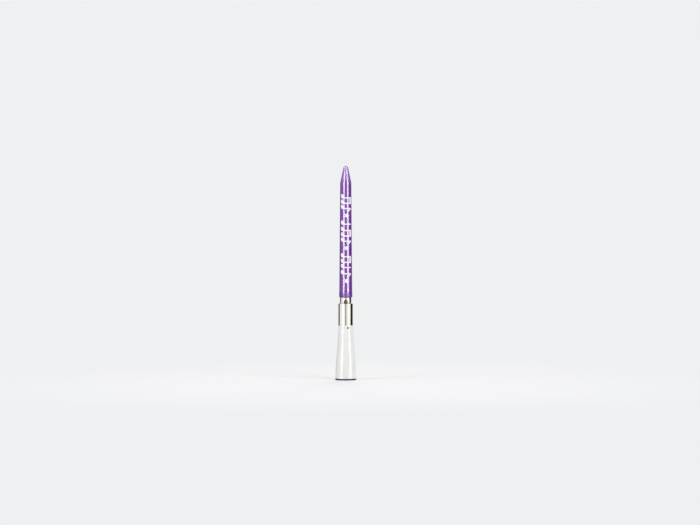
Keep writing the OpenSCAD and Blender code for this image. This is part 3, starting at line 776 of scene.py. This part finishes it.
MARK_SIZE = 0.78
MARK_WIDTHS = {joined_notes: 8.4, eighth_note: 6.2, star: 6.2, quarter_note: 5.0}
ROW = (joined_notes, eighth_note, star, quarter_note, joined_notes, eighth_note, star, joined_notes,
       quarter_note, eighth_note, star)
print("marks in the row:", len(ROW), "length, mm:", round(MARK_SIZE * sum(MARK_WIDTHS[m] for m in ROW), 1))

# %% Plates cut from a distance field
def cut_sheet(name, field, columns, rows, place_vertex, material, depth):
    """A thin plate of the grid's inside, where the field is below 0, with smooth outlines."""
    shape = bmesh.new()
    known = {}

    def vertex(key, u, v):
        if key not in known:
            known[key] = shape.verts.new(place_vertex(u, v))
        return known[key]

    for j in range(len(rows) - 1):
        for i in range(len(columns) - 1):
            cell = ((j, i), (j, i + 1), (j + 1, i + 1), (j + 1, i))
            loop = []
            for a, b in zip(cell, cell[1:] + cell[:1]):
                (aj, ai), (bj, bi) = a, b
                if field[a] < 0:
                    loop.append(vertex(a, columns[ai], rows[aj]))
                if (field[a] < 0) != (field[b] < 0):
                    t = field[a] / (field[a] - field[b])
                    loop.append(vertex(tuple(sorted((a, b))), columns[ai] + t * (columns[bi] - columns[ai]),
                                       rows[aj] + t * (rows[bj] - rows[aj])))
            if len(loop) > 2:
                shape.faces.new(loop)
    bmesh.ops.remove_doubles(shape, verts=shape.verts, dist=0.004 * MM)
    sheet = new_piece(name, mesh_of(shape, name), material)
    thickness = sheet.modifiers.new("thickness", "SOLIDIFY")
    thickness.thickness, thickness.offset = depth * MM, -1.0
    smoothed(settled(sheet).data)
    return sheet


print("a plate is cut where its field is below 0")

# %% Print wrapped on the wax
PRINT_TOP, PRINT_BOTTOM, PRINT_MARGIN = 115.4, 56.8, 2.0
PRINT_HALF_WIDTH, PRINT_CELL, PRINT_SHIFT = 4.0, 0.14, 0.6
INK_TOP, INK_DEPTH = 0.035, 0.05
columns = np.arange(-PRINT_HALF_WIDTH, PRINT_HALF_WIDTH + PRINT_CELL, PRINT_CELL)
rows = np.arange(PRINT_BOTTOM, PRINT_TOP + PRINT_CELL, PRINT_CELL)
across, up = np.meshgrid(columns, rows)
field = np.full(across.shape, 1.0)
start = PRINT_TOP - PRINT_MARGIN
for mark in ROW:
    field = np.minimum(field, mark((start - up) / MARK_SIZE, across / MARK_SIZE + STEM_TOP / 2 - PRINT_SHIFT))
    start -= MARK_WIDTHS[mark] * MARK_SIZE


def on_wax(u, v):
    """The point at an arc length u from the front and a height v, just above the wax."""
    radius = wax_radius(v)
    angle = u / radius
    return Vector(((radius + INK_TOP) * math.sin(angle), -(radius + INK_TOP) * math.cos(angle), v)) * MM


candle_print = cut_sheet("candle_print", field, columns, rows, on_wax, ink, INK_DEPTH)
placed(candle_print, "candle", "white_plastic")

# %% [markdown]
# ## The ferrule
# The ferrule is rolled from thin chromed sheet: a sleeve, a rounded shoulder and a narrower neck, with an
# open seam down its front and a round relief hole in it. The lathe gives the rolled wall with its thickness,
# and two Booleans open the seam and the hole, so both show the dark socket behind, as they really do.

# %% Rolled ferrule
SLEEVE_R, NECK_R, SHEET = 4.65, 3.65, 0.3
SHOULDER_R, SEAM_WIDTH, RELIEF_R = 0.7, 0.5, 1.35
SLEEVE_FOOT, NECK_TOP = (corner.z for corner in box_mm("ferrule"))
SLEEVE_TOP, RELIEF_HEIGHT = 47.5, 48.2
middle = (SLEEVE_FOOT + SLEEVE_TOP) / 2


def quarter_arc(radius, x, z, steps):
    """Points from the side to the top of a quarter circle about (x, z)."""
    angles = [math.pi / 2 * i / steps for i in range(steps + 1)]
    return [(x + radius * math.cos(a), z + radius * math.sin(a)) for a in angles]


shoulder = [(x, z, 0) for x, z in quarter_arc(SHOULDER_R, SLEEVE_R - SHOULDER_R, SLEEVE_TOP - SHOULDER_R, 10)]
wall = rounded([(SLEEVE_R, middle, 0)] + shoulder + [
    (NECK_R, SLEEVE_TOP, 0.3), (NECK_R, NECK_TOP, 0.12), (NECK_R - SHEET, NECK_TOP, 0.12),
    (NECK_R - SHEET, SLEEVE_TOP - SHEET, 0.1), (SLEEVE_R - SHEET, SLEEVE_TOP - SHEET, SHOULDER_R - SHEET),
    (SLEEVE_R - SHEET, SLEEVE_FOOT, 0.1), (SLEEVE_R, SLEEVE_FOOT, 0.12), (SLEEVE_R, middle - 1, 0)])
rolled_ferrule = spun("rolled_ferrule", wall, chrome, segments=176, closed=True)
seam = box_cutter((-SEAM_WIDTH / 2, -SLEEVE_R - 1, SLEEVE_FOOT - 1), (SEAM_WIDTH / 2, -1, NECK_TOP + 1))
relief = rod_cutter(RELIEF_R, SLEEVE_R, (0, -SLEEVE_R / 2 - 0.5, RELIEF_HEIGHT), (0, -1, 0))
placed(drilled(rolled_ferrule, [seam, relief]), "base", "chromed_sheet", "ferrule")

# %% [markdown]
# ## The white base
# The base is a moulded shell that widens in one smooth curve from the ferrule to the foot, with a spigot at
# the top that the ferrule is pressed over, and a small vent hole. The spigot is slit behind the ferrule's
# seam, which so looks dark right down to its foot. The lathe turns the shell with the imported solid's own
# curve, hollow, and with the small roundings that a mould leaves at its edges.

# %% Flared shell
FOOT_R, TOP_R, SHELL_WALL = 6.43, 4.55, 0.9
FLARE_FOOT, SHELL_FOOT, RING_TOP = 2.0, 0.9, 4.6
SPIGOT_R, SPIGOT_BORE_R, SPIGOT_TOP = 4.3, 3.4, 38.7
VENT_R, VENT_DROP, VENT_TURN = 0.6, 1.6, math.radians(18)
SLIT_WIDTH, SLIT_FOOT = SEAM_WIDTH + 0.3, SLEEVE_FOOT + 0.05
FLARE_STEPS = 48


def shell_radius(z):
    """Outer radius of the shell at a height, both in mm."""
    t = max(0.0, min(1.0, (SLEEVE_FOOT - z) / (SLEEVE_FOOT - FLARE_FOOT)))
    return TOP_R + (FOOT_R - TOP_R) * t * t * (3 - 2 * t)


outer = [(shell_radius(z), z, 0) for z in evenly(FLARE_FOOT, SLEEVE_FOOT - 0.3, FLARE_STEPS)]
inner = [(shell_radius(z) - SHELL_WALL, z, 0) for z in evenly(SLEEVE_FOOT, RING_TOP, FLARE_STEPS)]
bore_r = inner[-1][0]
spigot = [(TOP_R, SLEEVE_FOOT, 0.14), (SPIGOT_R, SLEEVE_FOOT, 0), (SPIGOT_R, SPIGOT_TOP, 0.2),
          (SPIGOT_BORE_R, SPIGOT_TOP, 0.2), (SPIGOT_BORE_R, SLEEVE_FOOT, 0)]
foot = [(bore_r, SHELL_FOOT, 0.1), (FOOT_R, SHELL_FOOT, 0.14), (FOOT_R, FLARE_FOOT - 0.2, 0)]
shell_profile = rounded(outer + spigot + inner + foot)
flared_shell = spun("flared_shell", shell_profile, white_gloss, segments=176, closed=True)
vent_way = Vector((math.sin(VENT_TURN), -math.cos(VENT_TURN), 0))
vent = rod_cutter(VENT_R, 4.0, vent_way * TOP_R + Vector((0, 0, SLEEVE_FOOT - VENT_DROP)), vent_way)
slit = box_cutter((-SLIT_WIDTH / 2, -SPIGOT_R - 1, SLIT_FOOT),
                  (SLIT_WIDTH / 2, -SPIGOT_BORE_R + 1, SPIGOT_TOP + 1))
placed(drilled(flared_shell, [vent, slit]), "base", "white_plastic", "base_shell")

# %% Glints kept to wax and base
for name, lamps, piece in (("glint_on_wax", wax_glints, candle_body),
                           ("glint_on_base", base_glints, flared_shell)):
    receivers = bpy.data.collections.new(name)
    receivers.objects.link(piece)
    for lamp in lamps:
        lamp.light_linking.receiver_collection = receivers
print("linked lamps:", [lamp.name for lamp in wax_glints + base_glints])

# %% [markdown]
# ## The bottom cap
# A black cap closes the base. Its rim is the thin dark line under the white, its underside is recessed, and a
# ring of small holes lets the buzzer's sound out. The cap is turned, and a Geometry Nodes tree sets a cutter
# on each point of a circle and on its middle and takes them all out at once, so the count can be changed.

# %% Cap with sound holes
RECESS_R, RECESS, FLANGE_TOP, CAP_TOP = FOOT_R - 1.9, 0.4, 0.85, 1.3
RING_R, RING_BORE_R, LEDGE_TOP, LEDGE_R = bore_r - 0.05, bore_r - 0.75, 2.1, bore_r - 1.2
cap_profile = rounded([(0, RECESS, 0), (RECESS_R, RECESS, 0.1), (RECESS_R, 0, 0.15), (FOOT_R, 0, 0.2),
                       (FOOT_R, FLANGE_TOP, 0.12), (RING_R, FLANGE_TOP, 0), (RING_R, RING_TOP, 0.25),
                       (RING_BORE_R, RING_TOP, 0.12), (RING_BORE_R, LEDGE_TOP, 0), (LEDGE_R, LEDGE_TOP, 0.08),
                       (LEDGE_R, CAP_TOP, 0), (0, CAP_TOP, 0)])
cap_sizes = {"Holes": 6, "Hole radius": 0.45 * MM, "Circle radius": 2.5 * MM, "Depth": 6 * MM}
tree, sizes, group_output = new_tools("sound_holes", cap_sizes)
circle = step(tree, "MeshCircle", {"Vertices": sizes["Holes"], "Radius": sizes["Circle radius"]})
spots = step(tree, "JoinGeometry", {0: circle})
feed(tree, spots.node, {0: step(tree, "MeshLine", {"Count": 1})})
rod = step(tree, "MeshCylinder", {"Vertices": 32, "Radius": sizes["Hole radius"], "Depth": sizes["Depth"]})
rods = step(tree, "RealizeInstances", {0: step(tree, "InstanceOnPoints", {"Points": spots, "Instance": rod})})
opened = step(tree, "MeshBoolean", operation="DIFFERENCE", solver="EXACT",
              inputs={"Mesh 1": sizes["Geometry"], "Mesh 2": rods})
ending(tree, opened, black_plastic, group_output)

sound_cap = spun("sound_cap", cap_profile, black_plastic, segments=144)
smoothed(grown(sound_cap, tree, cap_sizes).data)
placed(sound_cap, "core", "black_plastic", "bottom_cap")

# %% [markdown]
# ## Inner finishes
# The pieces inside show only when the base is lifted off, but each has its own make: uncoloured plastic for
# the frame, plated steel for the cells, brass and ceramic for the buzzer, a green laminate for the board. The
# small parts have tinned ends and the ceramic a silvered face, so a mask sets the metal apart from the body.

# %% Plastics and metals inside
COVER = dict(scale=900.0, grain=4000.0, rough=(0.3, 0.45), depth=0.08)
socket_plastic = plain("socket_grey", "5d5a50", "504d44", **MOULDED)
frame_plastic = plain("uncoloured_plastic", "dcdad1", "cfcdc3", scale=240.0, grain=1800.0, rough=(0.34, 0.5),
                      depth=0.08, Subsurface_Weight=0.15, Subsurface_Scale=0.7 * MM)
plated_steel = plain("plated_steel", "d6d5d1", "c4c3bf", scale=700.0, grain=5200.0, rough=(0.16, 0.3),
                     depth=0.04, grain_stretch=0.1, Metallic=1.0)
spring_strip = plain("nickel_strip", "d2d0c8", "bdbbb2", scale=900.0, grain=4200.0, rough=(0.22, 0.36),
                     depth=0.06, stretch=0.1, grain_stretch=0.08, Metallic=1.0)
tinned = plain("tinned_wire", "d4d4d2", "bebebc", scale=1500.0, grain=5000.0, rough=(0.22, 0.4), depth=0.12,
               Metallic=1.0)
solder_tin = plain("solder_tin", "d9d9d7", "b7b7b5", scale=2200.0, grain=3200.0, rough=(0.14, 0.38),
                   depth=0.3, Metallic=1.0)
brass = plain("rolled_brass", "dcb76a", "c79d50", scale=420.0, grain=3000.0, rough=(0.2, 0.34), depth=0.05,
              Metallic=1.0)
seal_green = plain("seal_green", "3b7a56", "2c6244", scale=900.0, grain=4000.0, rough=(0.4, 0.55), depth=0.1)
epoxy = plain("epoxy_drop", "151517", "0d0d0f", scale=700.0, grain=900.0, rough=(0.1, 0.22), depth=0.25,
              Coat_Weight=0.3)
red_cover = plain("red_insulation", "b5261f", "9c1d18", **COVER)
black_cover = plain("black_insulation", "1d1d1e", "131314", **COVER)
resin = plain("clear_resin", "e9eff6", "dbe4ee", scale=400.0, grain=1500.0, rough=(0.05, 0.1), depth=0.02,
              Transmission_Weight=0.85, IOR=1.52)
laminate = plain("solder_mask", "1f6b3a", "1a5c31", scale=500.0, grain=2600.0, rough=(0.22, 0.34), depth=0.12,
                 Coat_Weight=0.2)
track_green = plain("masked_copper", "3d9458", "2f7f49", scale=700.0, grain=3000.0, rough=(0.2, 0.32),
                    depth=0.1, Coat_Weight=0.2)
print("inner finishes:", len(bpy.data.materials), "materials in all")

# %% Finishes with a mask
MASK_EDGE = 0.02
CHIP_BODY, TRANSISTOR_BODY, SILVER_R = 0.72, 0.7, 2.55


def masked_metal(name, light, dark, grain, axis, centre, reach):
    """A finish that turns into tinned metal further than reach from a centre along an axis, in mm."""
    material, tree, shader, tint = finish(name, light, dark, scale=900.0, grain=grain, rough=(0.3, 0.5),
                                          depth=0.1)
    along = maths(tree, "SUBTRACT", apart(tree, object_place(tree))[axis], centre * MM)
    metal = ranged(tree, maths(tree, "ABSOLUTE", along), (reach - MASK_EDGE) * MM, (reach + MASK_EDGE) * MM)
    tin = use_group(tree, mottle, Light=colour("d4d4d2"), Dark=colour("bcbcba"), Scale=1500.0)["Colour"]
    feed(tree, shader, {"Base Color": mixed(tree, metal, tint, tin), "Metallic": metal})
    return material


resistor_finish = masked_metal("resistor_black", "232324", "171718", 3500.0, "X", 0.0, CHIP_BODY)
capacitor_finish = masked_metal("capacitor_tan", "b39468", "9d7f55", 3500.0, "X", 0.0, CHIP_BODY)
transistor_middle = sum(corner.z for corner in box_mm("driver_transistor")) / 2
transistor_finish = masked_metal("transistor_black", "1e1e20", "151516", 3000.0, "Z", transistor_middle,
                                 TRANSISTOR_BODY)
ceramic, tree, shader, tint = finish("silvered_ceramic", "ece8dd", "ded9cc", scale=800.0, grain=3000.0,
                                     rough=(0.3, 0.45), depth=0.05)
place = apart(tree, object_place(tree))
from_axis = length_of(tree, together(tree, X=place["X"], Y=place["Y"]))
silver = ranged(tree, from_axis, (SILVER_R - MASK_EDGE) * MM, (SILVER_R + MASK_EDGE) * MM, 1.0, 0.0)
feed(tree, shader, {"Base Color": mixed(tree, silver, tint, colour("d8d6d0")), "Metallic": silver})
print("masked finishes:", resistor_finish.name, transistor_finish.name, ceramic.name)

# %% [markdown]
# ## Moulded and pressed pieces
# A dark grey cup inside the ferrule grips the wax stub, a moulded frame carries the electronics on the cap,
# and strips, legs and small parts sit round it. Their imported solids have the right shape already, so each is
# a merged copy, most with their sharp edges rounded, which catch the light. The board keeps its solid.

# %% Moulded and pressed pieces
for node, name, material, edge, body, slot in (
        ("candle_socket", "socket_cup", socket_plastic, 0.12, "base", "socket_plastic"),
        ("core_frame", "moulded_frame", frame_plastic, 0.08, "core", "natural_plastic"),
        ("melody_chip", "epoxy_chip", epoxy, 0.0, "core", "chip_epoxy"),
        ("driver_transistor", "transistor_case", transistor_finish, 0.06, "core", "component_black"),
        ("chip_resistor", "resistor_case", resistor_finish, 0.04, "core", "component_black"),
        ("chip_capacitor", "capacitor_case", capacitor_finish, 0.04, "core", "component_tan"),
        ("positive_contact", "lower_strip", spring_strip, 0.05, "core", "contact_strip"),
        ("negative_contact", "upper_strip", spring_strip, 0.05, "core", "contact_strip"),
        ("sensor_legs", "sensor_wires", tinned, 0.06, "core", "tinned_wire"),
        ("solder_joints", "solder_drops", solder_tin, 0.0, "core", "solder")):
    placed(softened(node, name, material, edge), body, slot, node)
board_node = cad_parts["circuit_board"].data
board_node.materials.clear()
board_node.materials.append(laminate)

# %% [markdown]
# ## Button cells, buzzer and sensor
# Each cell is a pressed steel can whose edge is crimped over a green seal, with a smaller cap on top. The
# buzzer is a silvered ceramic disc on a brass plate, and the light sensor a dome of clear resin on a collar.
# All are round, so the lathe makes them, crimped edges included.

# %% Cells, seals and buzzer
CELL_R, CELL_CAP_R, CAP_RISE = 3.95, 2.9, 0.3
SEAL_R, SEAL_BORE_R, SEAL_RISE = CELL_CAP_R + 0.4, CELL_CAP_R + 0.01, 0.15
both_seals = bmesh.new()
for node in ("lower_cell", "upper_cell"):
    low, high = (corner.z for corner in box_mm(node))
    rim = high - CAP_RISE
    can = rounded([(0, low + 0.06, 0), (2.7, low + 0.06, 0.08), (2.85, low, 0.08), (CELL_R, low, 0.35),
                   (CELL_R, low + 0.9, 0), (CELL_R - 0.03, rim - 0.6, 0.2), (CELL_R, rim - 0.35, 0.2),
                   (CELL_R, rim, 0.3), (CELL_CAP_R + 0.05, rim, 0.04), (CELL_CAP_R, rim - 0.04, 0),
                   (CELL_CAP_R, high, 0.14), (2.2, high, 0.05), (2.1, high - 0.04, 0.05),
                   (0, high - 0.04, 0)])
    placed(spun("crimped_" + node, can, plated_steel, segments=96), "core", "cell_steel", node)
    ring = rounded([(CELL_CAP_R + 0.2, rim, 0), (SEAL_R, rim, 0.05), (SEAL_R, rim + SEAL_RISE, 0.1),
                    (SEAL_BORE_R, rim + SEAL_RISE, 0.06), (SEAL_BORE_R, rim, 0.03),
                    (CELL_CAP_R + 0.15, rim, 0)])
    both_seals.from_mesh(spun_mesh("seal_ring", ring, 96, closed=True))
seal_rings = new_piece("seal_rings", smoothed(mesh_of(both_seals, "seal_rings")), seal_green)
placed(seal_rings, "core", "cell_seal", "cell_seals")

for node, name, material, slot in (("buzzer_plate", "brass_disc", brass, "buzzer_brass"),
                                   ("buzzer_ceramic", "ceramic_disc", ceramic, "buzzer_ceramic")):
    low, high = box_mm(node)
    disc = rounded([(0, low.z, 0), (high.x, low.z, 0.05), (high.x, high.z, 0.05), (0, high.z, 0)])
    placed(spun(name, disc, material, segments=96), "core", slot, node)

# %% Light sensor
low, high = box_mm("light_sensor")
SENSOR_R, COLLAR_TOP = 1.5, low.z + 0.55
dome_foot = high.z - SENSOR_R
collar = rounded([(0, low.z, 0), (high.x, low.z, 0.08), (high.x, COLLAR_TOP, 0.08),
                  (SENSOR_R, COLLAR_TOP, 0.05), (SENSOR_R, dome_foot, 0)])[:-1]
dome = [Vector(spot) * MM for spot in quarter_arc(SENSOR_R, 0.0, dome_foot, 16)]
clear_sensor = spun("clear_sensor", collar + dome, resin, segments=64, centre=own_axis(low, high))
placed(clear_sensor, "core", "sensor_resin", "light_sensor")

# %% [markdown]
# ## The board's tracks
# Copper tracks under the board's green mask would be a texture elsewhere. Here they are cut as thin plates
# with the print's distance fields, so they catch the light and join the pads that the parts really sit on.

# %% Copper tracks
TRACK_WIDTH, PAD_R, TRACK_TOP, TRACK_DEPTH = 0.42, 0.72, 0.015, 0.03
TRACK_CELL, TRACK_HALF_SPAN, BOARD_MARGIN = 0.11, 3.95, 0.1
board_low, board_high = box_mm("circuit_board")
FRONT_RUNS = (((3.4, 15.4), (2.0, 17.2), (2.0, 20.9), (1.5, 21.4)),
              ((-3.4, 15.4), (-2.0, 17.2), (-2.0, 20.9), (-1.5, 21.4)),
              ((1.1, 18.4), (1.1, 20.9)), ((-1.1, 18.4), (-1.1, 20.9)),
              ((0.9, 23.8), (0.95, 25.7)), ((-0.9, 23.8), (-0.95, 25.7)),
              ((0.0, 27.5), (0.0, 29.3), (1.9, 29.3), (1.9, 23.4), (1.5, 22.9)))
FRONT_PADS = ((3.4, 15.4), (-3.4, 15.4), (1.1, 18.4), (-1.1, 18.4))
BACK_RUNS = (((1.27, 26.0), (1.9, 25.2), (1.9, 21.2), (1.0, 20.65)),
             ((-1.27, 26.0), (-1.27, 24.2), (-0.9, 23.05)),
             ((-0.9, 20.65), (-1.9, 19.6), (-1.9, 16.4), (-2.6, 15.4)),
             ((0.9, 23.05), (0.9, 18.0), (1.6, 16.0)))
BACK_PADS = ((1.27, 26.0), (-1.27, 26.0), (-2.6, 15.4), (1.6, 16.0))


def tracks(name, runs, pads, face_y, side):
    """Thin copper runs and round pads on one face of the board; the side is 1 in front and -1 behind."""
    columns = np.arange(-TRACK_HALF_SPAN, TRACK_HALF_SPAN + 0.05, TRACK_CELL)
    rows = np.arange(board_low.z + BOARD_MARGIN, board_high.z - BOARD_MARGIN, TRACK_CELL)
    x, z = np.meshgrid(columns, rows)
    strokes = [bar(side * x, z, start, end, TRACK_WIDTH) for run in runs for start, end in zip(run, run[1:])]
    rounds = [np.hypot(side * x - pad_x, z - pad_z) - PAD_R for pad_x, pad_z in pads]

    def on_board(u, v):
        return Vector((side * u, face_y - side * TRACK_TOP, v)) * MM

    field = np.minimum.reduce(strokes + rounds)
    sheet = cut_sheet(name, field, columns, rows, on_board, track_green, TRACK_DEPTH)
    placed(sheet, "core", "board_laminate")


tracks("front_tracks", FRONT_RUNS, FRONT_PADS, board_low.y, 1)
tracks("back_tracks", BACK_RUNS, BACK_PADS, board_high.y, -1)

# %% [markdown]
# ## The buzzer's leads
# Two thin covered wires run from the buzzer up the front of the core to the board. They follow a path, so one
# Geometry Nodes tree makes both: it takes a few straight runs, rounds their corners and sweeps a circle along
# them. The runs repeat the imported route, and the tree's named sizes set the corner and the thickness.

# %% Covered leads
lead_sizes = {"Cover radius": 0.2 * MM, "Corner radius": 0.8 * MM, "Sides": 20}
tree, sizes, group_output = new_tools("covered_lead", lead_sizes)
route = step(tree, "MeshToCurve", {"Mesh": sizes["Geometry"]})
eased = step(tree, "FilletCurve", {"Curve": route, "Count": 8, "Radius": sizes["Corner radius"]}, mode="POLY")
section = step(tree, "CurvePrimitiveCircle", {"Resolution": sizes["Sides"], "Radius": sizes["Cover radius"]})
swept = step(tree, "CurveToMesh", {"Curve": eased, "Profile Curve": section, "Fill Caps": True})
material_node = ending(tree, swept, red_cover, group_output)

KNEE_HEIGHT, TAIL_FOOT = 15.0, 16.6
radius = lead_sizes["Cover radius"] / MM
for node, name, material, slot, start_y in (
        ("buzzer_lead_red", "red_lead", red_cover, "red_insulation", -1.5),
        ("buzzer_lead_black", "black_lead", black_cover, "black_insulation", -3.05)):
    low, high = box_mm(node)
    x, front_y, face_y, foot_z = (low.x + high.x) / 2, low.y + radius, high.y - radius, low.z + radius
    runs = [(x, start_y, foot_z), (x, front_y, foot_z), (x, front_y, KNEE_HEIGHT), (x, face_y, TAIL_FOOT),
            (x, face_y, high.z)]
    route_mesh = bpy.data.meshes.new(name)
    route_mesh.from_pydata([Vector(p) * MM for p in runs], [(i, i + 1) for i in range(len(runs) - 1)], [])
    feed(tree, material_node, {"Material": material})
    placed(grown(new_piece(name, route_mesh, material), tree, lead_sizes), "core", slot, node)
